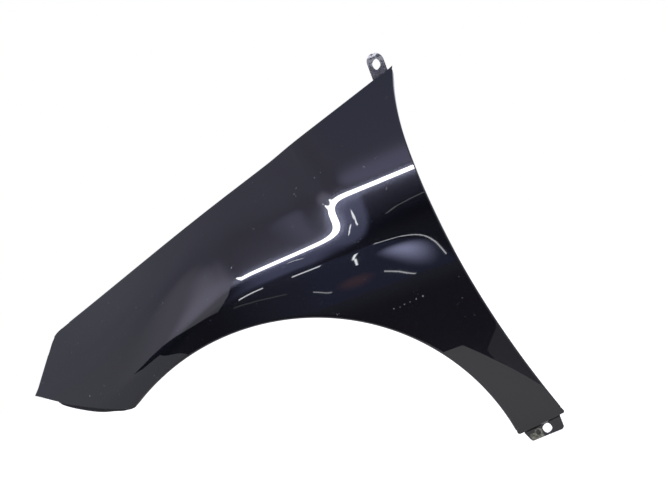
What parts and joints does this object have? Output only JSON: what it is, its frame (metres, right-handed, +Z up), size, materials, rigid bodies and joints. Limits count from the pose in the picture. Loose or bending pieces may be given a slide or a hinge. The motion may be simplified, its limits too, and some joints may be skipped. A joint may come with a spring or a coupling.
{
  "type": "car fender",
  "caption": "Left front steel fender for a compact car: wheel arch, folded flanges, bolting ledge under the bonnet edge, cowl bracket and sill clip nut.",
  "frame": {"origin": "on the underside of the second bolt pad from the front of the bonnet-side ledge, 14 mm behind its slotted hole, in the car's own frame", "axes": "+X to the car's rear, +Y inward to the engine bay, +Z up as bolted on the car"},
  "size_m": [0.7924, 0.2095, 0.6601],
  "materials": {
    "dark_blue_paint": "gloss metallic",
    "worn_bracket_steel": "worn paint over steel",
    "dull_zinc": "dull zinc plating"
  },
  "bodies": {
    "root": {"fender_panel": "dark_blue_paint", "cowl_bracket": "worn_bracket_steel", "sill_clip_nut": "dull_zinc"}
  },
  "joints": []
}
